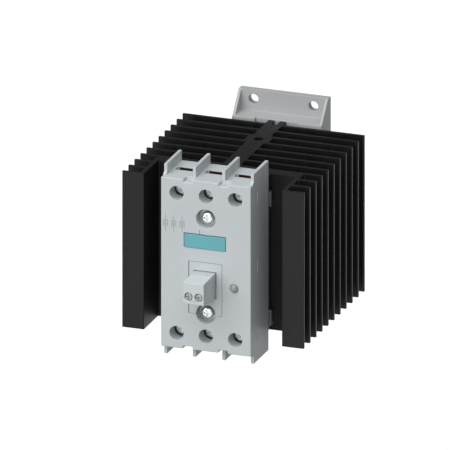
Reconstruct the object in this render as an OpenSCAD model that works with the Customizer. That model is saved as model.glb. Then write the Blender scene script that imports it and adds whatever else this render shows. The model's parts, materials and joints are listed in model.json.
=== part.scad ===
// Three-phase solid state relay on its own finned heat sink, with a wall and rail bracket.
// Origin: centre of the bracket's back plane. +Z is up, the relay's face looks along -Y.
// Millimetres throughout.

/* [Relay body] */
// Width of the relay
relay_w = 45; // [42:0.5:60]
// Height of the relay between its two terminal ends, ribs left out
relay_h = 85; // [82:0.5:110]
// Depth from the relay's face to its seat on the heat sink
relay_d = 29.9; // [28.5:0.1:40]
// Thickness of the front cover's plate
cover_t = 3; // [2.6:0.1:3.6]
// Thickness of the housing's side walls
wall_t = 1.8; // [1.2:0.1:2.2]
// How far the phase barriers stand out past the terminal ends
rib_out = 5.1; // [3:0.1:8]
// Thickness of a phase barrier
rib_t = 1.6; // [1.2:0.1:2.2]
// Depth of a barrier's front edge behind the face
rib_front = 4.5; // [4.5:0.1:6]
// Diameter of the light guide beside the control plug
led_d = 4.1; // [3:0.1:5]

/* [Power terminals] */
// Spacing of the three poles
pole_pitch = 14.7; // [14:0.1:18]
// Distance from a terminal screw's axis to the end of the relay
term_inset = 7.4; // [7:0.1:9]
// Diameter of a screwdriver hole
access_d = 7; // [6.8:0.1:7.6]
// Length of the guide tube behind a screwdriver hole, from the face
guide_l = 7; // [5:0.1:7.2]
// Width of a terminal chamber and of its wire entry
entry_w = 9.8; // [9.2:0.1:10.4]
// Gap of a wire entry, front to back
entry_gap = 4.2; // [4.1:0.1:4.6]
// Depth of a copper bar's front face behind the relay's face
bar_depth = 16.1; // [16:0.1:17]
// Thickness of a copper bar
bar_t = 1.5; // [1:0.1:2]
// Diameter of a terminal screw's thread
term_screw_d = 4; // [3.5:0.5:4.5]
// Diameter of a terminal screw's head
term_head_d = 6.5; // [6:0.1:6.6]
// Height of a terminal screw's head
term_head_h = 2.6; // [2:0.1:2.8]
// Thickness of a clamp plate
clamp_t = 1.5; // [1.2:0.1:1.8]

/* [Control plug] */
// Spacing of the two control poles
plug_pitch = 5.08; // [5:0.01:5.08]
// Sideways place of the control plug
plug_x = -0.4; // [-1:0.1:1]
// Height of the plug's centre line
plug_z = -8.95; // [-10:0.05:-8.5]
// Width of the socket header
header_w = 10.6; // [10.6:0.1:11.4]
// Height of the socket header
header_h = 12.7; // [12.6:0.1:13.2]
// How far the header stands out of the face
header_out = 3.8; // [2:0.1:5]
// How far the plug's front stands out of the face
plug_out = 16.2; // [15.4:0.1:18]

/* [Mounting screws] */
// Spacing of the two screws that hold the relay down
fix_spacing = 47.6; // [46:0.1:50]
// Diameter of their thread
fix_screw_d = 4; // [3:0.5:4.5]
// Diameter of the recess around a screw head
recess_d = 9.7; // [9:0.1:10.4]
// Depth of the recess
recess_depth = 4.5; // [3.6:0.1:5.5]

/* [Heat sink] */
// Width across the fins
sink_w = 91.1; // [86:0.1:120]
// Length of the extrusion
sink_h = 78.2; // [60:0.1:100]
// Depth from the ears' front faces to the spine's end
sink_d = 90.2; // [88:0.1:110]
// Depth of the relay's seat behind the ears' front faces
seat_depth = 20.1; // [12:0.1:26]
// Thickness of the seat plate
seat_t = 6.8; // [5:0.1:9]
// Number of fins on each side
fin_n = 11; // [8:1:11]
// Spacing of the fins
fin_pitch = 8.4; // [6.5:0.05:8.4]
// Thickness of a fin
fin_t = 1.7; // [1.2:0.1:2.4]
// Width of an ear, wall included
ear_w = 11; // [8:0.1:14]
// Thickness of an ear's inner wall
ear_wall_t = 2.3; // [1.6:0.1:3.5]
// Thickness of the spine between the fins
spine_t = 8.8; // [7:0.1:12]
// Diameter of the hole along the spine
spine_hole_d = 4.3; // [3:0.1:5]
// Distance from that hole to the spine's end
spine_hole_back = 26.4; // [24:0.1:30]

/* [Bracket] */
// Width of the bracket
bracket_w = 45; // [45:0.5:60]
// Height across its two flanges
bracket_h = 100; // [96:0.5:120]
// Height of the block between the flanges
block_h = 79.2; // [76:0.1:84]
// Depth of the block
block_d = 13.5; // [13:0.1:18]
// Depth of the groove that takes the spine's end
groove_depth = 1.5; // [1:0.1:2.5]
// Width of that groove
groove_w = 21.8; // [16:0.1:28]
// Thickness of a flange
flange_t = 3.9; // [3:0.1:4]
// Spacing of the flange holes, across
hole_span_x = 30; // [24:0.5:32]
// Spacing of the flange holes, up and down
hole_span_z = 91; // [89:0.5:92]
// Diameter of a flange hole
flange_hole_d = 4.8; // [4:0.1:5.5]
// Height of the mounting rail that the bracket takes
rail_h = 35; // [35:0.1:35.2]
// Depth of the rail's profile
rail_depth = 7.5; // [7.5:0.1:7.6]
// How far the hook and the latch reach behind the rail
hook_reach = 2.3; // [1.5:0.1:2.6]
// Travel of the rail latch
latch_travel = 3.5; // [3:0.1:4]

/* [Hidden] */
// Clearances
gap_slide = 0.2;        // beside a sliding piece
gap_thread = 0.08;      // around a thread or shank that turns
gap_lid = 0.12;         // around a piece that drops into a pocket
gap_stop = 0.1;         // left at the end of a travel
gap_hold = 0.05;        // beside a piece that its slot holds
gap_screw = 0.2;        // around a plain screw hole
gap_head = 0.4;         // around a screw's head in its recess
lap = 0.2;              // how far joined pieces run into each other
root = 0.5;             // the same, for a piece that grows from a plate
cut = 1;                // how far a cutting solid runs past a face
$fn = 64;

// Depths along Y: the wall is at 0, and everything else stacks up in front of it
spine_end_y = -(block_d - groove_depth);
ear_y = spine_end_y - sink_d;
seat_y = ear_y + seat_depth;
face_y = seat_y - relay_d;

// Relay, in depths behind its face
half_w = max(relay_w / 2, pole_pitch + entry_w / 2 + wall_t);   // wide enough for the outer poles
fix_z = fix_spacing / 2;
block_floor = 1.2;
chamber_in = 5.2;
block_room = 4.9;       // from a mounting screw's axis to the terminal block
half_h = max(relay_h / 2, fix_z + block_room + block_floor + chamber_in + term_inset);   // long enough for both
pad_t = 0.25;
pad_in = 0.8;
base_t = 4.65;
base_depth = relay_d - pad_t - base_t;
shell_end = base_depth;
base_w = 2 * half_w - 2.2;
base_h = min(2 * half_h - 7.4, sink_h - 0.6);   // inside the relay and on the heat sink
base_lug_out = 1.9;
lug_z = [[24, 31.5], [-36, -28]];
lug_in = [1.4, 0.6];

// Terminals
term_z = half_h - term_inset;
entry_front = bar_depth - entry_gap;
clamp_depth = entry_front - gap_stop - clamp_t;
head_depth = clamp_depth - term_head_h;
screw_past = 1.5;
term_screw_l = bar_depth + bar_t + screw_past - clamp_depth;
clamp_w = entry_w - 3 * gap_slide;
clamp_h = 9;
grip_z = 3.4;
grip_w = 0.8;
grip_in = 0.3;
chamber_roof = 1.5;
bar_roof = 0.4;
bar_w = 8;
foot_l = 7;
block_z = term_z - chamber_in - block_floor;
guide_wall = 1.2;
pocket_wall = 1.8;
pocket_z = [-4.1, 5.8];

// Mounting screws and their posts
post_d = recess_d + 2.3;
post_shoulder = 8;
stem_d = 7;
washer_d = 8.4;
washer_t = 0.8;
washer_play = 0.3;
fix_head_d = 6.4;
fix_head_h = 2.3;
fix_bite = 9;
fix_spare = 0.6;        // hole below the screw's end

// Notches in the terminal ends, and slits in the sides
notch_x = [-9, 8.7];
notch_w = 4.6;
notch_in = 1.4;
slit_t = 1.2;
slit_depth = 8.5;
slit_z = [half_h - 7.9, 0, -half_h + 8.5];
slit_l = 5.8;
slit_cut = 1;
arm_t = 1.2;
arm_end = 10.4;

// Label and control insert on the face
label_x = [-11.06, 10.04];
label_z = [8.6, 15.9];
label_sink = 1.2;
label_t = 1.5;
thumb_r = 12;
thumb_in = 0.75;
thumb_off = 0.9;
insert_x = [-8.7, 8.1];
insert_z = [-24.2, 2];
insert_gap_left = 0.35; // the insert sits towards +X in its opening
header_gap = 0.35;      // open groove around the control header
header_groove = 1.5;
led_x = 14.1;
lens_centre = 0.4;      // the dome's middle lies this deep
lens_lip = 0.6;
lamp_d = 3;
lamp_gap = 0.6;
led_z = -9.3;
led_flange = 0.6;

// Board and what stands on it
board_t = 1.6;
board_depth = 12.4;
board_w = 2 * (half_w - wall_t) - 0.6;
board_h = 2 * block_z - 1;
ledge_w = 1.3;
ledge_t = 1.5;
substrate_t = 1;
substrate_w = 38;
substrate_h = fix_spacing - stem_d - 4.2;
foot_z = [substrate_h / 2 - 0.2 - foot_l, substrate_h / 2 - 0.2];
substrate_depth = base_depth - substrate_t;
chip = 7;
chip_t = 0.4;
chip_x = 12.2;
chip_z = foot_z[0] - chip / 2 - 0.7;
gate_pin_d = 1;
gate_pin_x = 6.1;
gate_pin_z = 12;
opto_size = [6.4, 3.5, 8.8];
opto_pitch = 11;
opto_z = 12;
resistor_size = [3.2, 0.7, 1.6];
resistor_x = [10.5, 15];
resistor_z = [1.5, 4.5];
capacitor_size = [7.5, 6, 9.5];
capacitor_x = 14;
capacitor_z = -20.5;

// Control header and plug, in heights above and below plug_z
header_wall = 1;
header_floor = 9.5;
pin_w = 1;
pin_up = 2.95;
pin_start = 0.6;
plug_w = header_w - 0.2;
plug_seam = 0.3;        // groove left between the plug and its socket
plug_front_z = [-4.65, 5.95];
tongue_gap = 0.15;
tongue_end = 8;
plug_screw_z = -0.95;
plug_screw_d = 2.6;
plug_head_d = 3.6;
plug_head_h = 1.6;
plug_head_sink = 0.2;
cage_w = 4;
cage_h = 5.6;
cage_wall = 0.6;
cage_top = 1.2;
cage_room = 3.6;
cage_travel = 1.9;
strip_t = 0.8;
strip_w = 2.4;
wire_gap = 2.4;
arm_up = [3.55, 4.25];
socket_end = 7.4;

// Bracket
rail_lip_t = 1;
hook_gap = 0.3;
hook_t = 2.4;
rail_gap = 0.3;
gusset_t = 1.5;
spine_rib_t = 5;
pocket_rim = 2;
hook_wall = 3.2;
end_wall = 2.5;
guide_t = 2.4;
skin_t = 3;
latch_w = 16;
latch_t = 3;
latch_front = -rail_depth + gap_slide;
latch_end_z = -53;
window_w = 4;
peg_z = [-36, -34];
spring_rest = 8.3;
window_z = [peg_z[0] - 1.1, peg_z[1] + spring_rest + latch_travel + gap_stop * 2];
peg_w = 3.4;
eye_w = 7;
eye_h = 2.6;
spring_wire = 0.4;
spring_coil_r = 1.25;
spring_turns = 9;
spring_sides = 8;
spring_steps = 14;
bracket_screw_z = 29;
bracket_screw_d = 3;
bracket_head_d = 5.6;
bracket_head_h = 2;
head_bevel = 0.6;
bracket_head_y = -9.4;
bracket_bite = 7;
bracket_spare = 0.5;

// ---- shapes that repeat ----

// A block between two limits on each axis
module slab(x, y, z) {
    translate([x[0], y[0], z[0]]) cube([x[1] - x[0], y[1] - y[0], z[1] - z[0]]);
}

// A round bar along Y
module rod(d, y) {
    translate([0, y[0], 0]) rotate([-90, 0, 0]) cylinder(d = d, h = y[1] - y[0]);
}

// A solid turned about Y from points given as [radius, y]
module turned(points) {
    rotate([-90, 0, 0]) rotate_extrude() polygon(points);
}

// A YZ outline carried along X
module carried(x, points) {
    translate([x[0], 0, 0]) rotate([90, 0, 90]) linear_extrude(height = x[1] - x[0]) polygon(points);
}

// Puts a piece at the relay's face, so that its Y values are depths behind the face
module on_relay() {
    translate([0, face_y, 0]) children();
}

// The place of one power terminal: column -1, 0 or 1 and row 1 for the top or -1 for the bottom
module at_terminal(column, row) {
    on_relay() translate([column * pole_pitch, 0, 0]) mirror([0, 0, row > 0 ? 0 : 1])
        translate([0, 0, term_z]) children();
}

module each_terminal() {
    for (column = [-1, 0, 1], row = [1, -1])
        translate([column * pole_pitch, 0, 0]) mirror([0, 0, row > 0 ? 0 : 1])
            translate([0, 0, term_z]) children();
}

module each_fixing() {
    for (side = [-1, 1]) translate([0, 0, side * fix_z]) children();
}

// A cross and slot recess in a screw head whose front is at the given depth
module drive(y, across, width, deep) {
    slab([-across / 2, across / 2], [y - cut, y + deep], [-width / 2, width / 2]);
    slab([-width / 2, width / 2], [y - cut, y + deep], [-across / 2, across / 2]);
}

// ---- heat sink ----

module heat_sink() {
    fin_from = spine_t / 2 - 0.5;
    boss_w = spine_t + 3.8;
    boss_l = 9.5;
    channel_w = 2.5;
    channel_l = 5.5;
    inner = sink_w / 2 - ear_w;
    outer = inner + ear_wall_t;
    seat_back = seat_y + seat_t;
    hole_y = spine_end_y - spine_hole_back;
    color([0.12, 0.12, 0.125])
    difference() {
        translate([0, 0, -sink_h / 2]) linear_extrude(height = sink_h) difference() {
            union() {
                // seat plate and spine
                translate([-outer, seat_y]) square([2 * outer, seat_t]);
                translate([-spine_t / 2, seat_y + 1]) square([spine_t, spine_end_y - seat_y - 1]);
                translate([-boss_w / 2, hole_y - boss_l / 2]) square([boss_w, boss_l]);
                for (side = [0, 1]) mirror([side, 0]) {
                    // ear wall
                    translate([inner, ear_y]) square([ear_wall_t, seat_back - ear_y]);
                    // fins, which start at the ear wall in front of the seat and at the spine behind it
                    for (k = [0:fin_n - 1]) {
                        fin_y = ear_y + k * fin_pitch;
                        from = fin_y < seat_back - fin_t ? inner : fin_from;
                        translate([from, fin_y]) square([sink_w / 2 - from, fin_t]);
                    }
                }
            }
            translate([0, hole_y]) circle(d = spine_hole_d);
            translate([-channel_w / 2, spine_end_y - channel_l]) square([channel_w, channel_l + cut]);
        }
        // threaded holes for the relay's screws
        each_fixing()
            rod(fix_screw_d + 2 * gap_thread, [seat_y - cut, seat_y + fix_bite + fix_spare]);
        // threads cut by the bracket's screws
        for (side = [-1, 1]) translate([0, 0, side * bracket_screw_z])
            rod(bracket_screw_d + 2 * gap_thread, [spine_end_y - bracket_bite - bracket_spare, spine_end_y + cut]);
    }
}

// ---- bracket and rail latch ----

module bracket() {
    top = block_h / 2;
    end = bracket_h / 2;
    edge = bracket_w / 2;
    rail_top = rail_h / 2 + rail_gap;
    slot_back = latch_front + latch_t + gap_slide;
    color([0.72, 0.73, 0.74])
    difference() {
        union() {
            difference() {
                slab([-edge, edge], [-block_d, 0], [-top, top]);
                // channel that the rail lies in
                slab([-edge - cut, edge + cut], [-rail_depth, cut], [-rail_top, rail_top]);
                // lightening pockets behind the front skin, above the rail and on both sides of the latch
                for (x = [[spine_rib_t / 2, edge - pocket_rim], [-edge + pocket_rim, -spine_rib_t / 2]])
                    slab(x, [-block_d + skin_t + groove_depth, cut], [rail_top + hook_wall, top - end_wall]);
                for (x = [[latch_w / 2 + guide_t, edge - pocket_rim], [-edge + pocket_rim, -latch_w / 2 - guide_t]])
                    slab(x, [-block_d + skin_t + groove_depth, cut], [-top + end_wall, -rail_top - pocket_rim]);
            }
            // flanges
            for (side = [0, 1]) mirror([0, 0, side]) {
                slab([-edge, edge], [-flange_t, 0], [top - 1, end]);
                for (x = [-edge, edge - gusset_t])
                    carried([x, x + gusset_t],
                        [[-block_d + 1, top - 1], [-block_d + 1, top], [-flange_t, end], [-flange_t + 1, end],
                         [-flange_t + 1, top - 1]]);
            }
            // fixed hook behind the rail's upper edge
            hook_y = -rail_depth + rail_lip_t + hook_gap;
            carried([-edge, edge],
                [[hook_y, rail_top - 0.2 - hook_reach], [hook_y, rail_top + 1], [hook_y + hook_t, rail_top + 1],
                 [hook_y + hook_t, rail_top], [hook_y + 1, rail_top - 0.2 - hook_reach]]);
        }
        // groove for the spine's end
        slab([-groove_w / 2, groove_w / 2], [-block_d - cut, spine_end_y], [-end - cut, end + cut]);
        // slot that the latch slides in, with the spring's peg left standing
        difference() {
            slab([-latch_w / 2 - gap_slide, latch_w / 2 + gap_slide], [-rail_depth, slot_back],
                [-end - cut, -rail_top + cut]);
            slab([-peg_w / 2, peg_w / 2], [-rail_depth - cut, slot_back + cut], peg_z);
        }
        // flange holes
        for (x = [-1, 1], z = [-1, 1]) translate([x * hole_span_x / 2, 0, z * hole_span_z / 2])
            rod(flange_hole_d, [-flange_t - cut, cut]);
        // holes for the screws into the spine, and the way in for a driver
        for (side = [-1, 1]) translate([0, 0, side * bracket_screw_z]) {
            rod(bracket_screw_d + 2 * gap_screw, [-block_d, 0]);
            rod(bracket_head_d + 2 * gap_head, [bracket_head_y, cut]);
        }
    }
}

module bracket_screws() {
    color([0.8, 0.8, 0.82])
    for (side = [-1, 1]) translate([0, 0, side * bracket_screw_z]) difference() {
        union() {
            rod(bracket_screw_d, [spine_end_y - bracket_bite, bracket_head_y + lap]);
            turned([[0, bracket_head_y], [bracket_head_d / 2, bracket_head_y],
                [bracket_head_d / 2, bracket_head_y + bracket_head_h - head_bevel],
                [bracket_head_d / 2 - head_bevel, bracket_head_y + bracket_head_h],
                [0, bracket_head_y + bracket_head_h]]);
        }
        mirror([0, 1, 0]) drive(-bracket_head_y - bracket_head_h, 3, 0.7, 1.1);
    }
}

module rail_latch() {
    back = latch_front + latch_t;
    hook_y = -rail_depth + rail_lip_t + hook_gap;
    shoulder_z = -rail_h / 2 - rail_gap;
    tip_z = -rail_h / 2 + hook_reach;
    color([0.35, 0.36, 0.38])
    difference() {
        carried([-latch_w / 2, latch_w / 2],
            [[latch_front, latch_end_z], [latch_front, shoulder_z], [hook_y, shoulder_z], [hook_y, tip_z],
             [hook_y + 0.7, tip_z], [back, shoulder_z + 0.8], [back, latch_end_z]]);
        slab([-window_w / 2, window_w / 2], [latch_front - cut, back + cut], window_z);
        slab([-eye_w / 2, eye_w / 2], [latch_front - cut, back + cut],
            [latch_end_z + 2.2, latch_end_z + 2.2 + eye_h]);
    }
}

// One ring of the spring's wire, turned to face along the coil
function coil_ring(step) =
    let (a = 360 * step / spring_steps,
         run = step / (spring_turns * spring_steps),
         low = peg_z[1] + spring_wire / 2 + 0.1,
         high = window_z[1] - spring_wire / 2 - 0.1)
    [for (s = [0:spring_sides - 1])
        let (b = 360 * s / spring_sides, r = spring_coil_r + spring_wire / 2 * cos(b))
        [r * cos(a), latch_front + latch_t / 2 + r * sin(a),
         low + (high - low) * run + spring_wire / 2 * sin(b)]];

module latch_spring() {
    rings = spring_turns * spring_steps;
    points = [for (i = [0:rings]) each coil_ring(i)];
    walls = [for (i = [0:rings - 1], s = [0:spring_sides - 1])
        let (n = (s + 1) % spring_sides)
        [i * spring_sides + s, i * spring_sides + n, (i + 1) * spring_sides + n, (i + 1) * spring_sides + s]];
    first = [for (s = [spring_sides - 1:-1:0]) s];
    last = [for (s = [0:spring_sides - 1]) rings * spring_sides + s];
    color([0.7, 0.7, 0.72]) polyhedron(points = points, faces = concat(walls, [first], [last]));
}

// ---- relay shell ----

module notches() {
    for (x = notch_x, side = [0, 1]) mirror([0, 0, side])
        slab([x - notch_w / 2, x + notch_w / 2], [-cut, rib_front], [half_h - notch_in, half_h + cut]);
}

module housing() {
    rib_top = half_h + rib_out;
    inner = half_w - wall_t;
    color([0.78, 0.8, 0.81])
    on_relay() difference() {
        union() {
            difference() {
                slab([-half_w, half_w], [cover_t, shell_end], [-half_h, half_h]);
                slab([-inner, inner], [cover_t - cut, shell_end + cut], [-block_z, block_z]);
            }
            // ledges that the board rests on
            for (side = [0, 1]) mirror([side, 0, 0])
                slab([inner - ledge_w, inner + lap],
                    [board_depth + board_t, board_depth + board_t + ledge_t], [-block_z, block_z]);
            // posts for the mounting screws
            each_fixing() {
                rod(post_d, [cover_t, post_shoulder]);
                rod(stem_d, [cover_t, shell_end]);
            }
            // webs that join the posts' shoulders to the terminal blocks
            for (side = [0, 1]) mirror([0, 0, side])
                slab([-post_d / 2, post_d / 2], [cover_t, post_shoulder], [fix_z, block_z + lap]);
            // phase barriers
            for (side = [0, 1]) mirror([0, 0, side]) {
                for (x = [-half_w, half_w - rib_t])
                    carried([x, x + rib_t],
                        [[cover_t, half_h - 1], [cover_t, half_h + 0.4], [rib_front, half_h + 1.3],
                         [rib_front, rib_top], [shell_end, rib_top], [shell_end, half_h - 1]]);
                for (x = [-1, 1] * pole_pitch / 2)
                    slab([x - rib_t / 2, x + rib_t / 2], [rib_front, shell_end], [half_h - 1, rib_top]);
            }
        }
        notches();
        each_fixing() {
            rod(recess_d, [cover_t - cut, recess_depth]);
            rod(fix_screw_d + 2 * gap_screw, [cover_t, shell_end + cut]);
        }
        each_terminal() {
            // chamber, wire entry and the slot that holds the bar
            slab([-entry_w / 2, entry_w / 2], [cover_t - cut, bar_depth], [-chamber_in, term_inset - chamber_roof]);
            slab([-entry_w / 2, entry_w / 2], [entry_front, bar_depth], [0, term_inset + cut]);
            slab([-bar_w / 2 - gap_stop, bar_w / 2 + gap_stop], [bar_depth - gap_stop, bar_depth + bar_t + gap_hold],
                [block_z - term_z - cut, term_inset - bar_roof]);
            // room for the screw's end, and a pocket moulded from behind
            rod(term_screw_d + 1, [bar_depth, shell_end + cut]);
            slab([-bar_w / 2, bar_w / 2], [bar_depth + bar_t + pocket_wall, shell_end + cut], pocket_z);
        }
        // slits in both sides: the middle one goes through and takes the cover's catch
        for (side = [0, 1], z = slit_z) mirror([side, 0, 0])
            slab([half_w - (z == 0 ? wall_t + cut : slit_cut), half_w + cut],
                [slit_depth, slit_depth + slit_t], [z - slit_l / 2, z + slit_l / 2]);
    }
}

module front_cover() {
    arm_x = half_w - wall_t - gap_lid;
    catch_in = 0.9;
    color([0.78, 0.8, 0.81])
    on_relay() difference() {
        union() {
            slab([-half_w, half_w], [0, cover_t], [-half_h, half_h]);
            each_terminal() rod(access_d + 2 * guide_wall, [cover_t - root, guide_l]);
            // catches that hold the cover in the middle slits
            for (side = [0, 1]) mirror([side, 0, 0]) {
                slab([arm_x - arm_t, arm_x], [cover_t - root, arm_end], [-slit_l / 2 + gap_slide, slit_l / 2 - gap_slide]);
                slab([arm_x - lap, arm_x + catch_in], [slit_depth + gap_hold, slit_depth + slit_t - gap_hold],
                    [-slit_l / 2 + gap_slide, slit_l / 2 - gap_slide]);
            }
        }
        notches();
        each_terminal() rod(access_d, [-cut, guide_l + cut]);
        each_fixing() rod(recess_d, [-cut, cover_t + cut]);
        slab(label_x, [-cut, label_sink], label_z);
        slab(insert_x, [-cut, cover_t + cut], insert_z);
        translate([led_x, 0, led_z]) rod(led_d + 2 * gap_lid, [-cut, cover_t + cut]);
    }
}

module control_insert() {
    shroud = header_wall;
    x = [insert_x[0] + insert_gap_left, insert_x[1] - gap_lid];
    z = [insert_z[0] + gap_lid, insert_z[1] - gap_lid];
    color([0.78, 0.8, 0.81])
    on_relay() difference() {
        union() {
            slab(x, [0, cover_t], z);
            translate([plug_x, 0, plug_z])
                slab([-header_w / 2 - gap_lid - shroud, header_w / 2 + gap_lid + shroud], [cover_t - root, header_floor],
                    [-header_h / 2 - gap_lid - shroud, header_h / 2 + gap_lid + shroud]);
        }
        translate([plug_x, 0, plug_z])
            for (around = [[gap_lid, header_floor + cut], [header_gap, header_groove]])
                slab([-header_w / 2 - around[0], header_w / 2 + around[0]], [-cut, around[1]],
                    [-header_h / 2 - around[0], header_h / 2 + around[0]]);
        each_fixing() {
            rod(recess_d, [-cut, cover_t]);
            rod(post_d + 2 * gap_lid, [cover_t, post_shoulder]);
        }
    }
}

module label_plate() {
    mid = (label_x[0] + label_x[1]) / 2 + thumb_off;
    color([0.39, 0.7, 0.71])
    on_relay() difference() {
        slab([label_x[0] + gap_lid, label_x[1] - gap_lid], [label_sink - label_t, label_sink],
            [label_z[0] + gap_lid, label_z[1] - gap_lid]);
        // thumb dip in the upper edge
        translate([mid, 0, label_z[1] - thumb_in + thumb_r])
            rod(2 * thumb_r, [label_sink - label_t - cut, label_sink + cut]);
    }
}

module base_plate() {
    color([0.62, 0.63, 0.65])
    on_relay() difference() {
        union() {
            slab([-base_w / 2, base_w / 2], [base_depth, base_depth + base_t], [-base_h / 2, base_h / 2]);
            // side lugs
            for (side = [0, 1], z = lug_z) mirror([side, 0, 0])
                slab([base_w / 2 - lap, base_w / 2 + base_lug_out],
                    [base_depth + lug_in[0], base_depth + base_t - lug_in[1]], z);
        }
        each_fixing() rod(fix_screw_d + 2 * gap_screw, [base_depth - cut, relay_d]);
    }
}

module thermal_pad() {
    color([0.85, 0.85, 0.8])
    on_relay() difference() {
        slab([-base_w / 2 + pad_in, base_w / 2 - pad_in], [relay_d - pad_t, relay_d],
            [-base_h / 2 + pad_in, base_h / 2 - pad_in]);
        each_fixing() rod(fix_screw_d + 1, [relay_d - 1, relay_d + 1]);
    }
}

// ---- electronics ----

module led_lens() {
    r = led_d / 2;
    color([0.7, 0.73, 0.72])
    on_relay() translate([led_x, 0, led_z]) union() {
        difference() {
            translate([0, lens_centre, 0]) sphere(r = r);
            slab([-r - cut, r + cut], [lens_centre, r + cut], [-r - cut, r + cut]);
        }
        rod(led_d, [lens_centre, cover_t + led_flange]);
        rod(led_d + 2 * lens_lip, [cover_t, cover_t + led_flange]);
    }
}

module status_led() {
    r = lamp_d / 2;
    top = cover_t + led_flange + lamp_gap;
    color([0.9, 0.75, 0.2])
    on_relay() translate([led_x, 0, led_z]) {
        translate([0, top + r, 0]) sphere(r = r);
        rod(2 * r, [top + r, board_depth]);
    }
}

module circuit_board() {
    color([0.1, 0.4, 0.25])
    on_relay() difference() {
        slab([-board_w / 2, board_w / 2], [board_depth, board_depth + board_t], [-board_h / 2, board_h / 2]);
        each_fixing() rod(stem_d + 0.6, [board_depth - cut, board_depth + board_t + cut]);
    }
}

module on_board(size, x, z) {
    slab([x - size[0] / 2, x + size[0] / 2], [board_depth - size[1], board_depth], [z - size[2] / 2, z + size[2] / 2]);
}

module optocouplers() {
    color([0.12, 0.12, 0.12])
    on_relay() for (side = [-1:1]) on_board(opto_size, side * opto_pitch, opto_z);
}

module resistors() {
    color([0.2, 0.2, 0.22])
    on_relay() for (side = [-1, 1], x = resistor_x, z = resistor_z) on_board(resistor_size, side * x, z);
}

module capacitors() {
    color([0.85, 0.65, 0.15])
    on_relay() for (side = [-1, 1]) on_board(capacitor_size, side * capacitor_x, capacitor_z);
}

module ceramic_substrate() {
    color([0.93, 0.92, 0.88])
    on_relay() slab([-substrate_w / 2, substrate_w / 2], [substrate_depth, base_depth],
        [-substrate_h / 2, substrate_h / 2]);
}

module thyristor_chips() {
    color([0.45, 0.45, 0.5])
    on_relay() for (x = [-chip_x, 0, chip_x], z = [-chip_z, chip_z])
        slab([x - chip / 2, x + chip / 2], [substrate_depth - chip_t, substrate_depth], [z - chip / 2, z + chip / 2]);
}

module gate_pins() {
    color([0.85, 0.7, 0.35])
    on_relay() for (x = [-1, 1], z = [-1, 1]) translate([x * gate_pin_x, 0, z * gate_pin_z])
        rod(gate_pin_d, [board_depth + board_t, substrate_depth]);
}

// ---- power terminals ----

module terminal_bar(column, row) {
    back = bar_depth + bar_t;
    foot = [foot_z[0] - term_z, foot_z[1] - term_z];
    color([0.5, 0.32, 0.22])
    at_terminal(column, row) difference() {
        union() {
            slab([-bar_w / 2, bar_w / 2], [bar_depth, back], [foot[1] - bar_t, term_inset - bar_roof - gap_hold]);
            slab([-bar_w / 2, bar_w / 2], [bar_depth, substrate_depth], [foot[1] - bar_t, foot[1]]);
            slab([-bar_w / 2, bar_w / 2], [substrate_depth - bar_t, substrate_depth], foot);
            if (column == 0) translate([0, 0, fix_z - term_z]) rod(stem_d + 4.8, [bar_depth, back]);
        }
        rod(term_screw_d + 2 * gap_thread, [bar_depth - cut, back + cut]);
        if (column == 0) translate([0, 0, fix_z - term_z]) rod(stem_d + 0.8, [bar_depth - cut, back + cut]);
    }
}

module terminal_clamp(column, row) {
    color([0.8, 0.8, 0.78])
    at_terminal(column, row) difference() {
        slab([-clamp_w / 2, clamp_w / 2], [clamp_depth, clamp_depth + clamp_t], [-clamp_h / 2, clamp_h / 2]);
        rod(term_screw_d + 2 * gap_thread, [clamp_depth - cut, clamp_depth + clamp_t + cut]);
        // grip grooves on the wire side
        for (z = [-1, 1] * grip_z)
            slab([-clamp_w / 2 - cut, clamp_w / 2 + cut],
                [clamp_depth + clamp_t - grip_in, clamp_depth + clamp_t + cut], [z - grip_w / 2, z + grip_w / 2]);
    }
}

module terminal_screw(column, row) {
    r = term_head_d / 2;
    under = clamp_depth - gap_hold;
    front = head_depth - gap_hold;
    color([0.85, 0.85, 0.86])
    at_terminal(column, row) difference() {
        union() {
            turned([[0, front], [r - root, front], [r, front + root], [r, under], [0, under]]);
            rod(term_screw_d, [under - lap, under + term_screw_l]);
        }
        drive(front, 4.2, 1, 1.5);
    }
}

module bar_top_left() { terminal_bar(-1, 1); }
module bar_top_middle() { terminal_bar(0, 1); }
module bar_top_right() { terminal_bar(1, 1); }
module bar_bottom_left() { terminal_bar(-1, -1); }
module bar_bottom_middle() { terminal_bar(0, -1); }
module bar_bottom_right() { terminal_bar(1, -1); }
module clamp_top_left() { terminal_clamp(-1, 1); }
module clamp_top_middle() { terminal_clamp(0, 1); }
module clamp_top_right() { terminal_clamp(1, 1); }
module clamp_bottom_left() { terminal_clamp(-1, -1); }
module clamp_bottom_middle() { terminal_clamp(0, -1); }
module clamp_bottom_right() { terminal_clamp(1, -1); }
module screw_top_left() { terminal_screw(-1, 1); }
module screw_top_middle() { terminal_screw(0, 1); }
module screw_top_right() { terminal_screw(1, 1); }
module screw_bottom_left() { terminal_screw(-1, -1); }
module screw_bottom_middle() { terminal_screw(0, -1); }
module screw_bottom_right() { terminal_screw(1, -1); }

// ---- mounting screws ----

module mounting_screws() {
    top = recess_depth - washer_t;
    r = fix_head_d / 2;
    color([0.85, 0.85, 0.86])
    on_relay() each_fixing() difference() {
        union() {
            turned([[0, top - fix_head_h], [r - 1.3, top - fix_head_h], [r - 0.4, top - fix_head_h + 0.6],
                [r, top - fix_head_h + 1.4], [r, top], [0, top]]);
            rod(fix_screw_d, [top - lap, relay_d + fix_bite]);
        }
        drive(top - fix_head_h, 3.4, 0.8, 1.4);
    }
}

module mounting_washers() {
    color([0.7, 0.7, 0.7])
    on_relay() each_fixing() difference() {
        rod(washer_d, [recess_depth - washer_t, recess_depth]);
        rod(fix_screw_d + washer_play, [recess_depth - washer_t - cut, recess_depth + cut]);
    }
}

// ---- control header and plug ----

module at_plug() {
    on_relay() translate([plug_x, 0, plug_z]) children();
}

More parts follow.
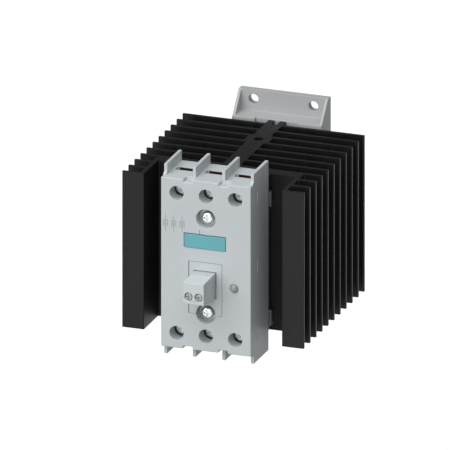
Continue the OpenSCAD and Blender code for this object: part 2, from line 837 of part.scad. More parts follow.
module each_pole() {
    for (side = [-1, 1]) translate([side * plug_pitch / 2, 0, 0]) children();
}

module control_header() {
    w = header_w / 2;
    h = header_h / 2;
    color([0.76, 0.78, 0.79])
    at_plug() difference() {
        slab([-w, w], [-header_out, board_depth], [-h, h]);
        slab([-w + header_wall, w - header_wall], [-header_out - cut, header_floor], [-h + header_wall, h - header_wall]);
        each_pole() slab([-pin_w / 2, pin_w / 2], [header_floor - cut, board_depth + cut],
            [pin_up - pin_w / 2, pin_up + pin_w / 2]);
    }
}

module header_pins() {
    color([0.85, 0.7, 0.35])
    at_plug() each_pole()
        slab([-pin_w / 2, pin_w / 2], [pin_start, board_depth], [pin_up - pin_w / 2, pin_up + pin_w / 2]);
}

// Depths of the parts of one control terminal, from the plug's front
screw_head_y = -plug_out + plug_head_sink;
cage_y = screw_head_y + plug_head_h + cage_travel + 0.1;
strip_y = cage_y + cage_top + 0.3;
cage_floor_y = strip_y + strip_t + wire_gap;

module plug_body() {
    w = plug_w / 2;
    tw = header_w / 2 - header_wall - tongue_gap;
    th = header_h / 2 - header_wall - tongue_gap;
    room = cage_w / 2 + gap_slide;
    seam_y = -header_out - plug_seam;
    color([0.8, 0.81, 0.82])
    at_plug() difference() {
        union() {
            carried([-w, w],
                [[-plug_out, plug_front_z[0]], [-plug_out, plug_front_z[1]], [seam_y, header_h / 2 - 0.1],
                 [seam_y, -header_h / 2 + 0.1]]);
            slab([-tw, tw], [-header_out - 0.5, tongue_end], [-th, th]);
        }
        each_pole() {
            translate([0, 0, plug_screw_z]) {
                rod(plug_head_d + 2 * gap_slide, [-plug_out - cut, screw_head_y + plug_head_h + 0.2]);
                slab([-room, room], [screw_head_y + plug_head_h - 0.1, cage_floor_y + cage_wall + gap_slide],
                    [-cage_h / 2 - gap_slide, cage_h / 2 + gap_slide]);
            }
            // wire entry from below
            slab([-strip_w / 2, strip_w / 2], [strip_y + strip_t, cage_floor_y], [-header_h / 2 - cut, plug_screw_z]);
            // way for the contact
            slab([-strip_w / 2 - 0.1, strip_w / 2 + 0.1], [strip_y - 0.1, strip_y + strip_t + 0.1],
                [plug_screw_z - cage_h / 2 - 0.4, arm_up[1] + 0.1]);
            slab([-strip_w / 2 - 0.1, strip_w / 2 + 0.1], [strip_y - 0.1, tongue_end + cut],
                [pin_up - pin_w / 2 - 0.8, arm_up[1] + 0.1]);
        }
    }
}

module plug_screw(side) {
    r = plug_head_d / 2;
    y = screw_head_y;
    color([0.75, 0.75, 0.76])
    at_plug() translate([side * plug_pitch / 2, 0, plug_screw_z]) difference() {
        union() {
            turned([[0, y], [r - 0.3, y], [r, y + 0.3], [r, y + plug_head_h], [0, y + plug_head_h]]);
            rod(plug_screw_d, [y + plug_head_h - lap, strip_y - tongue_gap]);
        }
        drive(y, 2.6, 0.6, 0.9);
    }
}

module plug_clamp(side) {
    w = cage_w / 2;
    h = cage_h / 2;
    color([0.8, 0.72, 0.45])
    at_plug() translate([side * plug_pitch / 2, 0, plug_screw_z]) difference() {
        slab([-w, w], [cage_y, cage_floor_y + cage_wall], [-h, h]);
        slab([-w + cage_wall, w - cage_wall], [cage_y + cage_top, cage_floor_y], [-h - cut, h + cut]);
        rod(plug_screw_d + 2 * gap_thread, [cage_y - cut, cage_y + cage_top + cut]);
    }
}

module plug_contacts() {
    w = strip_w / 2;
    low = plug_screw_z - cage_h / 2 - 0.3;
    socket_in = pin_w / 2 + 0.1;
    color([0.82, 0.66, 0.32])
    at_plug() each_pole() difference() {
        union() {
            slab([-w, w], [strip_y, strip_y + strip_t], [low, arm_up[1]]);
            slab([-w, w], [strip_y, socket_end], arm_up);
            slab([-w, w], [pin_start, socket_end], [pin_up - pin_w / 2 - 0.7, arm_up[1]]);
        }
        slab([-socket_in, socket_in], [pin_start - cut, socket_end + cut], [pin_up - socket_in, pin_up + socket_in]);
    }
}

module plug_screw_left() { plug_screw(-1); }
module plug_screw_right() { plug_screw(1); }
module plug_clamp_left() { plug_clamp(-1); }
module plug_clamp_right() { plug_clamp(1); }

// ---- every node ----

heat_sink();
bracket();
bracket_screws();
rail_latch();
latch_spring();
base_plate();
thermal_pad();
housing();
front_cover();
control_insert();
label_plate();
led_lens();
status_led();
circuit_board();
optocouplers();
resistors();
capacitors();
ceramic_substrate();
thyristor_chips();
gate_pins();
bar_top_left();
bar_top_middle();
bar_top_right();
bar_bottom_left();
bar_bottom_middle();
bar_bottom_right();
clamp_top_left();
clamp_top_middle();
clamp_top_right();
clamp_bottom_left();
clamp_bottom_middle();
clamp_bottom_right();
screw_top_left();
screw_top_middle();
screw_top_right();
screw_bottom_left();
screw_bottom_middle();
screw_bottom_right();
mounting_screws();
mounting_washers();
control_header();
header_pins();
plug_body();
plug_screw_left();
plug_screw_right();
plug_clamp_left();
plug_clamp_right();
plug_contacts();
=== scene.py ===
import json

import bmesh
import bpy
import numpy as np
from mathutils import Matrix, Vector
from mathutils.geometry import delaunay_2d_cdt


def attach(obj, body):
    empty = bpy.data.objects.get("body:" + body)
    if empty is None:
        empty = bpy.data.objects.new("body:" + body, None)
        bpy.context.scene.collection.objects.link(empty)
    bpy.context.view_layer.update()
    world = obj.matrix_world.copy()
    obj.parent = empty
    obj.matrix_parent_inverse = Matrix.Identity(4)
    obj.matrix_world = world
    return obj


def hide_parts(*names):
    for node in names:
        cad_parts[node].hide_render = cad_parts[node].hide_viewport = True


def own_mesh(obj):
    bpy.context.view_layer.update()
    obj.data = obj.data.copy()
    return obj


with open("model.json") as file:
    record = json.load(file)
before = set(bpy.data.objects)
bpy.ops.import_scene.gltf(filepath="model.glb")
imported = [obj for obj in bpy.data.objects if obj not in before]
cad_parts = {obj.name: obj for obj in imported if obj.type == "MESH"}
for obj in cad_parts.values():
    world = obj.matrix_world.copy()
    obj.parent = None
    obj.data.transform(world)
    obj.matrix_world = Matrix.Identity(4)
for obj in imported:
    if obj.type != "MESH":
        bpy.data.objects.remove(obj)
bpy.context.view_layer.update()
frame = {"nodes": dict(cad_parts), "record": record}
nodes = frame["nodes"]
bodyOfNode = {node: body for body, group in frame["record"]["behaviour"]["bodies"].items() for node in group}
slotOfNode = {part["node"]: part["material_slot"] for part in frame["record"]["subparts"]}

milli = 0.001
tiny = 1e-9  # keeps a division by zero away
weld = {"surface": 2e-7, "cadCopy": 2e-6}  # points closer than this, in metres, become one

# the relay's front, and what sits on it: six terminals, two screws in recesses, the lamp
face = {"y": -112.0, "halfWidth": 22.5, "halfHeight": 42.5}
terminal = {"pitch": 14.7, "height": 35.1, "hole": 7.0}
fixing = {"height": 23.8, "recess": 9.7}
lamp = {"x": 14.1, "z": -9.3}


def gridFaces(rows, columns, first=0):
    # quads of a grid of points whose rows are closed rings: (i, j), (i, j+1), (i+1, j+1), (i+1, j)
    i = np.arange(rows - 1)[:, None]
    j = np.arange(columns)[None, :]
    nextJ = (j + 1) % columns
    ring, nextRing = i * columns, (i + 1) * columns
    return first + np.stack([ring + j, ring + nextJ, nextRing + nextJ, nextRing + j], -1).reshape(-1, 4)


def meshPiece(name, points, faces, material, node, smoothAngle=35.0):
    # puts arrays of points (in mm) and faces into a mesh that rides with a node's body
    places = np.asarray(points, float).reshape(-1, 3) * milli
    mesh = bpy.data.meshes.new(name)
    mesh.from_pydata(places, [], [tuple(map(int, f)) for f in faces])
    work = bmesh.new()
    work.from_mesh(mesh)
    bmesh.ops.remove_doubles(work, verts=work.verts, dist=weld["surface"])
    bmesh.ops.recalc_face_normals(work, faces=work.faces)
    work.to_mesh(mesh)
    work.free()
    mesh.shade_smooth()
    mesh.set_sharp_from_angle(angle=np.radians(smoothAngle))
    piece = bpy.data.objects.new(name, mesh)
    bpy.context.scene.collection.objects.link(piece)
    mesh.materials.append(material)
    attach(piece, bodyOfNode[node])
    return piece


def weighted(piece):
    # flat faces keep their own normals beside the rounded rims
    rule = piece.modifiers.new("flatFaces", "WEIGHTED_NORMAL")
    rule.keep_sharp = True
    return piece


def roundedOutline(corners, outward, inward, steps=4):
    # each corner becomes an arc: tangent points at r / tan(half the corner's angle) along its two edges,
    # and between them points on the circle whose centre lies on the bisector
    p = np.asarray(corners, float)
    back, ahead = np.roll(p, 1, 0) - p, np.roll(p, -1, 0) - p
    back /= np.linalg.norm(back, axis=1, keepdims=True)
    ahead /= np.linalg.norm(ahead, axis=1, keepdims=True)
    turn = ahead[:, 1] * back[:, 0] - ahead[:, 0] * back[:, 1]
    convex = turn * np.sign(shoelace(p)) < 0
    radius = np.where(convex, np.broadcast_to(outward, len(p)), np.broadcast_to(inward, len(p)))
    half = np.arccos(np.clip((back * ahead).sum(1), -1, 1)) / 2
    reach = (radius / np.tan(half))[:, None]
    bisector = back + ahead
    bisector /= np.linalg.norm(bisector, axis=1, keepdims=True)
    centre = p + bisector * (radius / np.sin(half))[:, None]
    start, end = p + back * reach - centre, p + ahead * reach - centre
    t = np.linspace(0, 1, steps)[None, :, None]
    sweep = np.pi - 2 * half[:, None, None]
    arc = (np.sin((1 - t) * sweep) * start[:, None] + np.sin(t * sweep) * end[:, None]) / np.sin(sweep)
    return (centre[:, None] + arc).reshape(-1, 2)


def shoelace(p):
    # twice the signed area of a closed outline
    q = np.roll(p, -1, 0)
    return (p[:, 0] * q[:, 1] - q[:, 0] * p[:, 1]).sum()


def boxOutline(x, z, radius):
    # the four corners of a rectangle, each turned into an arc
    corners = np.array([[x[0], z[0]], [x[1], z[0]], [x[1], z[1]], [x[0], z[1]]], float)
    return roundedOutline(corners, radius, radius, 5)


def circleOutline(x, z, diameter, points=72):
    # centre + radius * (cos a, sin a)
    a = np.linspace(0, 2 * np.pi, points, endpoint=False)
    return np.stack([x + diameter / 2 * np.cos(a), z + diameter / 2 * np.sin(a)], -1)


def shrunk(loop, inset):
    # every point moves inwards along the bisector of its edges by inset / cos(half the turn)
    p = loop if shoelace(loop) > 0 else loop[::-1]
    edge = np.roll(p, -1, 0) - p
    edge /= np.maximum(np.linalg.norm(edge, axis=1, keepdims=True), tiny)
    normal = np.stack([-edge[:, 1], edge[:, 0]], -1)
    joined = normal + np.roll(normal, 1, 0)
    joined /= np.maximum((joined * joined).sum(1, keepdims=True) / 2, tiny)
    moved = p + joined * inset
    return moved if shoelace(loop) > 0 else moved[::-1]


def rim(radius, depth, steps=4):
    # a quarter circle from the face down into the wall, as (inset, depth) pairs
    a = np.linspace(0, np.pi / 2, steps)
    return np.stack([radius * (1 - np.sin(a)), depth + radius * (1 - np.cos(a))], -1)


def carvedPlate(name, outer, outerSteps, holes, material, node, toSpace):
    # the outline and each hole go back through their own (inset, depth) steps; a hole's inset is negative
    # where it widens. The front is filled between all the first loops and the back between the last ones,
    # and a blind pocket gets its own floor.
    points, faces, frontLoops, backLoops, count = [], [], [], [], 0
    for loop, steps, blind in [(outer, outerSteps, False)] + holes:
        levels = [np.column_stack([shrunk(loop, inset), np.full(len(loop), depth)]) for inset, depth in steps]
        points += levels
        faces += list(gridFaces(len(levels), len(loop), first=count))
        frontLoops.append((levels[0], count))
        lastStart = count + (len(levels) - 1) * len(loop)
        if blind:
            faces += filled([(levels[-1], lastStart)])
        else:
            backLoops.append((levels[-1], lastStart))
        count += len(levels) * len(loop)
    faces += filled(frontLoops) + filled(backLoops)
    return weighted(meshPiece(name, toSpace(np.concatenate(points)), faces, material, node))


def filled(loops, near=1e-7):
    # triangles between an outline and the holes in it, every loop's own edges kept: of all the triangles
    # found, the ones stay whose middle has an odd number of edges to its right. Points nearer than near, in
    # mm, are one.
    numbers = np.concatenate([first + np.arange(len(loop)) for loop, first in loops])
    flat = np.concatenate([loop[:, :2] for loop, first in loops])
    ahead = np.concatenate([np.roll(loop[:, :2], -1, 0) for loop, first in loops])
    starts = np.cumsum([0] + [len(loop) for loop, first in loops])
    edges = [(a + i, a + (i + 1) % (b - a)) for a, b in zip(starts[:-1], starts[1:]) for i in range(b - a)]
    found = delaunay_2d_cdt([Vector(p) for p in flat], edges, [], 0, near)
    own = np.array([group[0] for group in found[3]])
    triangles = own[np.array(found[2])]
    middle = flat[triangles].mean(1)[:, None]
    midX, midY = middle[..., 0], middle[..., 1]
    run, rise = (ahead - flat).T
    crossingX = flat[:, 0] + (midY - flat[:, 1]) * run / np.where(rise == 0, 1, rise)
    crossed = ((flat[:, 1] > midY) != (ahead[:, 1] > midY)) & (midX < crossingX)
    return list(numbers[triangles[crossed.sum(1) % 2 == 1]])


def behindFace(points):
    # (x, z, depth) to the object's own X, Y, Z
    return np.column_stack([points[:, 0], face["y"] + points[:, 2], points[:, 1]])


def turned(name, profile, x, z, material, node, sides=64):
    # (radius, depth) pairs turned about an axis along Y: x + radius * cos a, z + radius * sin a, depth
    ring = circleOutline(0, 0, 2, sides)
    xz = profile[:, None, :1] * ring[None] + np.array([x, z])
    depth = np.broadcast_to(profile[:, None, 1:], xz.shape[:2] + (1,))
    points = np.concatenate([xz, depth], -1).reshape(-1, 3)
    return meshPiece(name, behindFace(points), gridFaces(len(profile), sides), material, node)


rounding = {  # the sharp edges of these copies are rounded over this width
    "housing": 0.22, "control_insert": 0.14, "plug_body": 0.22, "control_header": 0.15, "bracket": 0.3,
    "rail_latch": 0.3, "mounting_screws": 0.12, "mounting_washers": 0.1, "plug_screw_left": 0.07,
    "plug_screw_right": 0.07,
}
softEdge = {"segments": 2, "sharpAngle": 38.0, "flatAngle": 0.6, "wholeFaces": ("bracket",)}  # degrees


def softened(node, width, s):
    # a copy of a node with its flat triangles merged into whole faces, which are cut anew except on the nodes
    # in wholeFaces. Every edge that turns by more than sharpAngle is cut back by width and rounded.
    angle = np.radians(s["sharpAngle"])
    work = bmesh.new()
    work.from_mesh(nodes[node].data)
    bmesh.ops.remove_doubles(work, verts=work.verts, dist=weld["cadCopy"])
    bmesh.ops.dissolve_limit(work, angle_limit=np.radians(s["flatAngle"]), verts=work.verts, edges=work.edges)
    if node not in s["wholeFaces"]:
        bmesh.ops.triangulate(work, faces=work.faces, ngon_method="BEAUTY")
    work.verts.ensure_lookup_table()
    points = [v.co[:] for v in work.verts]
    faces = [[v.index for v in f.verts] for f in work.faces]
    work.free()
    mesh = bpy.data.meshes.new(node + "Soft")
    mesh.from_pydata(points, [], faces)
    mesh.shade_smooth()
    mesh.set_sharp_from_angle(angle=angle)
    piece = bpy.data.objects.new(node + "Soft", mesh)
    bpy.context.scene.collection.objects.link(piece)
    mesh.materials.append(nodes[node].data.materials[0])
    bevel = piece.modifiers.new("roundedEdges", "BEVEL")
    bevel.width = width * milli
    bevel.segments = s["segments"]
    bevel.limit_method = "ANGLE"
    bevel.angle_limit = angle
    bevel.use_clamp_overlap = False
    bevel.harden_normals = True
    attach(piece, bodyOfNode[node])
    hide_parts(node)
    return piece


noiseSpan = (0.3, 0.7)  # nearly all of a noise's values lie in here


def newMaterial(name):
    # a node material, with its shader and the object's own coordinates
    material = bpy.data.materials.new(name)
    material.use_nodes = True
    tree = material.node_tree
    shader = next(n for n in tree.nodes if n.type == "BSDF_PRINCIPLED")
    place = tree.nodes.new("ShaderNodeTexCoord")
    return material, tree, shader, place.outputs["Object"]


def noiseAt(tree, place, scale, stretch=(1, 1, 1), detail=3.0, roughness=0.5):
    # a noise of scale cells to a metre, drawn out along each axis by 1 / stretch
    mapping = tree.nodes.new("ShaderNodeMapping")
    mapping.inputs["Scale"].default_value = stretch
    noise = tree.nodes.new("ShaderNodeTexNoise")
    noise.inputs["Scale"].default_value = scale
    noise.inputs["Detail"].default_value = detail
    noise.inputs["Roughness"].default_value = roughness
    tree.links.new(place, mapping.inputs["Vector"])
    tree.links.new(mapping.outputs["Vector"], noise.inputs["Vector"])
    return noise.outputs["Fac"]


def ranged(tree, noise, low, high):
    # a noise spread evenly between two values
    node = tree.nodes.new("ShaderNodeMapRange")
    for socket, number in zip(("From Min", "From Max", "To Min", "To Max"), (*noiseSpan, low, high)):
        node.inputs[socket].default_value = number
    tree.links.new(noise, node.inputs["Value"])
    return node.outputs["Result"]


def blended(tree, noise, colourA, colourB):
    # a noise spread evenly between two colours
    ramp = tree.nodes.new("ShaderNodeValToRGB")
    for stop, position, colour in zip(ramp.color_ramp.elements, noiseSpan, (colourA, colourB)):
        stop.position = position
        stop.color = (*colour, 1)
    tree.links.new(noise, ramp.inputs["Fac"])
    return ramp.outputs["Color"]


def bumped(tree, shader, height, distance):
    # a relief that is distance mm deep
    bump = tree.nodes.new("ShaderNodeBump")
    bump.inputs["Distance"].default_value = distance * milli
    tree.links.new(height, bump.inputs["Height"])
    tree.links.new(bump.outputs["Normal"], shader.inputs["Normal"])


def darker(colour, share):
    # each part of the colour times 1 - share
    return tuple(c * (1 - share) for c in colour)


plastic = {"cloud": 90, "gloss": 420, "glossSpread": 0.05, "specular": 0.35, "grain": 3800}


def mouldedPlastic(name, colour, roughness=0.5, grain=0.02, shade=0.03):
    # plastic with a fine eroded grain, a faint cloudiness and a gloss that varies a little
    material, tree, shader, place = newMaterial(name)
    spread = plastic["glossSpread"]
    cloud = noiseAt(tree, place, plastic["cloud"], detail=4)
    gloss = ranged(tree, noiseAt(tree, place, plastic["gloss"]), roughness - spread, roughness + spread)
    tree.links.new(blended(tree, cloud, darker(colour, shade), colour), shader.inputs["Base Color"])
    tree.links.new(gloss, shader.inputs["Roughness"])
    shader.inputs["Specular IOR Level"].default_value = plastic["specular"]
    bumped(tree, shader, noiseAt(tree, place, plastic["grain"], detail=2, roughness=0.6), grain)
    return material


anodising = {
    "dark": (0.0026, 0.0026, 0.0031), "dusty": (0.005, 0.005, 0.0058), "gloss": (0.38, 0.56), "specular": 0.3,
    "lines": 900, "lineStretch": (1, 1, 0.012), "lineDepth": 0.02, "dust": 60, "dustStretch": (1, 1, 0.35),
}


def extrudedBlack(name):
    # black anodised extrusion: die lines run along Z, a dusty variation lies over them
    material, tree, shader, place = newMaterial(name)
    m = anodising
    lines = noiseAt(tree, place, m["lines"], m["lineStretch"], detail=5, roughness=0.65)
    dust = noiseAt(tree, place, m["dust"], m["dustStretch"], detail=4)
    tree.links.new(blended(tree, dust, m["dark"], m["dusty"]), shader.inputs["Base Color"])
    tree.links.new(ranged(tree, lines, *m["gloss"]), shader.inputs["Roughness"])
    shader.inputs["Specular IOR Level"].default_value = m["specular"]
    bumped(tree, shader, lines, m["lineDepth"])
    return material


plating = {"markDepth": 0.012, "smoother": 0.08, "rougher": 0.1, "tarnish": 300, "tarnishShade": 0.14}


def platedSteel(name, colour, roughness=0.28, streak=(1, 1, 1), marks=1600):
    # bright plating with fine tool marks and a slight tarnish
    material, tree, shader, place = newMaterial(name)
    m = plating
    shader.inputs["Metallic"].default_value = 1.0
    toolMarks = noiseAt(tree, place, marks, streak, detail=4)
    tarnish = noiseAt(tree, place, m["tarnish"], detail=3)
    tint = blended(tree, tarnish, darker(colour, m["tarnishShade"]), colour)
    gloss = ranged(tree, toolMarks, roughness - m["smoother"], roughness + m["rougher"])
    tree.links.new(tint, shader.inputs["Base Color"])
    tree.links.new(gloss, shader.inputs["Roughness"])
    bumped(tree, shader, toolMarks, m["markDepth"])
    return material


clear = {"cloud": 500, "shade": 0.07, "gloss": (0.06, 0.12), "clearness": 0.55, "refraction": 1.49}


def clearLens(name, colour):
    # half clear plastic with a faint cloudiness
    material, tree, shader, place = newMaterial(name)
    m = clear
    cloud = noiseAt(tree, place, m["cloud"], detail=2)
    tree.links.new(blended(tree, cloud, darker(colour, m["shade"]), colour), shader.inputs["Base Color"])
    tree.links.new(ranged(tree, cloud, *m["gloss"]), shader.inputs["Roughness"])
    shader.inputs["Transmission Weight"].default_value = m["clearness"]
    shader.inputs["IOR"].default_value = m["refraction"]
    return material


finish = {
    "housing": mouldedPlastic("greyHousingPlastic", (0.545, 0.585, 0.6), 0.5),
    "cover": mouldedPlastic("greyCoverPlastic", (0.545, 0.585, 0.6), 0.5),
    "insert": mouldedPlastic("greyInsertPlastic", (0.54, 0.58, 0.595), 0.48),
    "plug": mouldedPlastic("greyPlugPlastic", (0.6, 0.635, 0.645), 0.42, grain=0.012),
    "header": mouldedPlastic("greyHeaderPlastic", (0.52, 0.555, 0.57), 0.45),
    "label": mouldedPlastic("petrolLabelPlastic", (0.14, 0.42, 0.475), 0.38, grain=0.008, shade=0.05),
    "bracket": mouldedPlastic("greyBracketPlastic", (0.42, 0.433, 0.437), 0.5),
    "latch": mouldedPlastic("darkLatchPlastic", (0.035, 0.036, 0.038), 0.45),
    "ink": mouldedPlastic("greyPrintingInk", (0.2, 0.21, 0.215), 0.6, grain=0.004),
    "darkInk": mouldedPlastic("darkPrintingInk", (0.03, 0.03, 0.032), 0.6, grain=0.004),
    "board": mouldedPlastic("greenBoard", (0.02, 0.16, 0.07), 0.35),
    "epoxy": mouldedPlastic("blackEpoxy", (0.02, 0.02, 0.02), 0.5),
    "capacitor": mouldedPlastic("yellowCapacitorCase", (0.55, 0.32, 0.03), 0.4),
    "ceramic": mouldedPlastic("whiteCeramic", (0.72, 0.7, 0.65), 0.6),
    "pad": mouldedPlastic("thermalPadRubber", (0.5, 0.5, 0.47), 0.8, grain=0.03),
    "heatSink": extrudedBlack("blackAnodisedExtrusion"),
    "screw": platedSteel("nickelTerminalSteel", (0.95, 0.95, 0.94), 0.3),
    "bright": platedSteel("zincMountingSteel", (0.85, 0.86, 0.87), 0.2),
    # a darker, rougher copy of the zinc mounting steel: painted shade of the deep screw recesses
    "washer": platedSteel("zincWasherSteelPaintedShade", (0.42, 0.42, 0.43), 0.4),
    "clamp": platedSteel("clampSteel", (0.62, 0.61, 0.58), 0.35),
    "plugScrew": platedSteel("plugScrewSteel", (0.45, 0.45, 0.45), 0.3),
    # copper bars coloured far darker than bare copper: painted shade of the deep wire-entry slots
    "copper": platedSteel("copperWithPaintedShade", (0.14, 0.07, 0.042), 0.5),
    "gold": platedSteel("goldContact", (0.8, 0.55, 0.2), 0.3),
    "wire": platedSteel("springWire", (0.6, 0.6, 0.62), 0.3),
    "base": platedSteel("milledBase", (0.3, 0.3, 0.31), 0.42, (1, 0.05, 1), 1200),
    "silicon": platedSteel("metallisedSilicon", (0.3, 0.3, 0.36), 0.35),
    "lens": clearLens("lampLens", (0.62, 0.66, 0.66)),
    "lamp": clearLens("amberLamp", (0.7, 0.45, 0.05)),
}
print("finishes ready:", len(finish))

finishOfSlot = {
    "black_anodised": "heatSink", "bracket_plastic": "bracket", "zinc_steel": "bright",
    "terminal_steel": "screw", "plug_steel": "plugScrew", "latch_plastic": "latch", "spring_steel": "wire",
    "base_metal": "base", "thermal_pad": "pad", "housing_plastic": "housing", "cover_plastic": "cover",
    "plug_plastic": "plug", "label_plastic": "label", "led_lens": "lens", "led_body": "lamp",
    "board": "board", "black_epoxy": "epoxy", "capacitor": "capacitor", "ceramic": "ceramic",
    "silicon": "silicon", "gold": "gold", "clamp_metal": "clamp", "copper": "copper",
}
for nodeName, node in nodes.items():
    node.data.materials.clear()
    node.data.materials.append(finish[finishOfSlot[slotOfNode[nodeName]]])
# the washers take the darker zinc steel, which paints the shade in their recesses
nodes["mounting_washers"].data.materials[0] = finish["washer"]
nodes["control_header"].data.materials[0] = finish["header"]


sink = {
    "halfWidth": 45.55, "halfHeight": 39.1, "end": -12.0,  # the spine ends here, at the bracket
    "earFront": -102.2, "earInner": 34.55, "earOuter": 36.85, "seat": -82.1, "plateBack": -75.3,
    "fins": 11, "finPitch": 8.4, "finThickness": 1.7, "finSlack": 0.1, "tipRadius": 0.45, "rootRadius": 0.7,
    "spine": 4.4, "boss": 6.3, "bossBetween": 7, "hole": (0, -38.4, 4.3), "channel": (1.25, 5.5),
    "endChamfer": 0.18, "chamferStep": 0.3, "holeChamfer": 1.2,
}


def sinkOutline(s):
    # fin k starts at ear front + k * pitch and ends a thickness behind. The right half goes from the spine's
    # end forwards, out and back along each fin, from the ear, the spine or the boss round the hole, and the
    # left half is its mirror image.
    k = np.arange(s["fins"])[::-1]
    front = s["earFront"] + k * s["finPitch"]
    back = front + s["finThickness"]
    behindSeat = front > s["plateBack"] - s["finThickness"] - s["finSlack"]
    rootBack = np.where(behindSeat, np.where(k == s["bossBetween"], s["boss"], s["spine"]), s["earOuter"])
    rootFront = np.where(k == s["bossBetween"] + 1, s["boss"], rootBack)
    rootFront = np.where(behindSeat & (front < s["plateBack"]), s["earOuter"], rootFront)
    rootFront = np.where(k == s["bossBetween"], s["spine"], rootFront)
    rootFront[-1] = s["earInner"]
    tip = np.full(len(k), s["halfWidth"])
    fins = np.stack([np.stack([rootBack, back], -1), np.stack([tip, back], -1),
                     np.stack([tip, front], -1), np.stack([rootFront, front], -1)], 1).reshape(-1, 2)
    start = np.array([[s["channel"][0], s["end"] - s["channel"][1]], [s["channel"][0], s["end"]],
                      [s["spine"], s["end"]]])
    half = np.concatenate([start, fins, [[s["earInner"], s["seat"]]]])
    return np.concatenate([half, half[::-1] * [-1, 1]])[::-1]


def buildHeatSink(s):
    # the outline runs straight through the height, with its rims broken at both ends
    outline = roundedOutline(sinkOutline(s), s["tipRadius"], s["rootRadius"], 4)
    c, h = s["endChamfer"], s["halfHeight"]
    step = c * s["chamferStep"]
    ends = [(c, h), (step, h - step), (0, h - c), (0, 0), (0, -h + c), (step, -h + step), (c, -h)]
    hole = circleOutline(*s["hole"], 48)[::-1]
    holeEnds = [(-inset * s["holeChamfer"], z) for inset, z in ends]
    piece = carvedPlate("finnedExtrusion", outline, ends, [(hole, holeEnds, False)], finish["heatSink"],
                        "heat_sink", lambda p: p)
    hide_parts("heat_sink")
    return piece


buildHeatSink(sink)
print("heat sink ready")


cover = {
    "thickness": 3.0, "edge": 0.4, "backEdge": (0.1, 0.12), "cornerRadius": 0.6, "innerRadius": 0.3,
    "notches": (-9.0, 8.7), "notchWidth": 4.6, "notchDepth": 1.4,
    "holeEdge": 0.22, "guideEnd": 7.0, "guideWall": 1.2, "guideChamfer": 0.2, "lampHole": 4.34,
    "label": ((-11.06, 10.04), (8.6, 15.9)), "labelDepth": 1.2, "labelRadius": 0.3,
    "insert": ((-8.7, 8.1), (-24.2, 2.0)),
}


def notchedOutline(w, h, c):
    # a rectangle with two notches in its top and two in its bottom edge, going round anticlockwise
    left = np.array(c["notches"]) - c["notchWidth"] / 2
    right = left + c["notchWidth"]
    outer, inner = np.full(2, -h), np.full(2, c["notchDepth"] - h)
    x = np.stack([left, left, right, right], 1)
    z = np.stack([outer, inner, inner, outer], 1)
    bottom = np.stack([x, z], -1).reshape(-1, 2)
    top = bottom[::-1] * [1, -1]
    return np.concatenate([[[-w, -h]], bottom, [[w, -h], [w, h]], top, [[-w, h]]])


def insertOpening(c):
    # the insert's rectangle joined with the lower screw recess: straight sides, then an arc round the recess
    (x0, x1), (z0, z1) = c["insert"]
    r, low = fixing["recess"] / 2, -fixing["height"]
    side = np.sqrt(r * r - (z0 - low) ** 2)
    a = np.linspace(np.arctan2(z0 - low, -side) % (2 * np.pi), np.arctan2(z0 - low, side) + 2 * np.pi, 40)
    arc = np.stack([r * np.cos(a), low + r * np.sin(a)], -1)
    return np.concatenate([[[x0, z1], [x0, z0]], arc, [[x1, z0], [x1, z1]]])


def buildCover(c):
    # the face's outline goes back over a rounded rim; the six terminal holes carry on as guide tubes
    outline = notchedOutline(face["halfWidth"], face["halfHeight"], c)
    outline = roundedOutline(outline, c["cornerRadius"], c["innerRadius"], 5)
    back, tubeEnd, wall, cut = c["thickness"], c["guideEnd"], c["guideWall"], c["guideChamfer"]
    edge = list(rim(c["edge"], 0, 5)) + [(0, back - c["backEdge"][1]), (c["backEdge"][0], back)]
    holeEdge = list(rim(c["holeEdge"], 0, 4) * [-1, 1])
    tube = holeEdge + [(0, tubeEnd - cut), (-cut, tubeEnd), (-wall, tubeEnd), (-wall, back)]
    through = holeEdge + [(0, back)]
    holes = []
    for column in (-1, 0, 1):
        for row in (-1, 1):
            loop = circleOutline(column * terminal["pitch"], row * terminal["height"], terminal["hole"])[::-1]
            holes.append((loop, tube, False))
    holes.append((circleOutline(0, fixing["height"], fixing["recess"])[::-1], through, False))
    holes.append((insertOpening(c), through, False))
    holes.append((circleOutline(lamp["x"], lamp["z"], c["lampHole"], 48)[::-1], through, False))
    holes.append((boxOutline(*c["label"], c["labelRadius"])[::-1], holeEdge + [(0, c["labelDepth"])], True))
    piece = carvedPlate("faceCover", outline, edge, holes, finish["cover"], "front_cover", behindFace)
    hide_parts("front_cover")
    return piece


buildCover(cover)


label = {
    "gap": 0.16, "wideGap": 0.34, "front": -0.3, "back": 1.18, "edge": 0.25,
    "dip": 0.75, "dipRadius": 12.0, "dipAt": 0.39,
}


def buildLabel(c, b):
    # a rectangle whose upper edge dips along a circle: z = top - dip + R - sqrt(R^2 - x^2). It sits low and
    # to the right in its recess, so the gap is wider at the left and above.
    (x0, x1), (z0, z1) = c["label"]
    x0, x1, z0, z1 = x0 + b["wideGap"], x1 - b["gap"], z0 + b["gap"], z1 - b["wideGap"]
    r, at = b["dipRadius"], b["dipAt"]
    reach = np.sqrt(r ** 2 - (r - b["dip"] + b["wideGap"]) ** 2)
    x = np.linspace(at + reach, at - reach, 30)
    dip = z1 + b["wideGap"] - b["dip"] + r - np.sqrt(r ** 2 - (x - at) ** 2)
    top = np.column_stack([x, np.minimum(dip, z1)])
    outline = np.concatenate([[[x0, z1], [x0, z0], [x1, z0], [x1, z1]], top])
    steps = list(rim(b["edge"], b["front"], 5)) + [(0, b["back"])]
    piece = carvedPlate("labelTag", outline, steps, [], finish["label"], "label_plate", behindFace)
    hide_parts("label_plate")
    return piece


buildLabel(cover, label)


window = {"radius": 2.05, "front": -1.55, "seat": 0.35, "collar": 2.6, "collarFront": 3.05, "collarBack": 3.6}


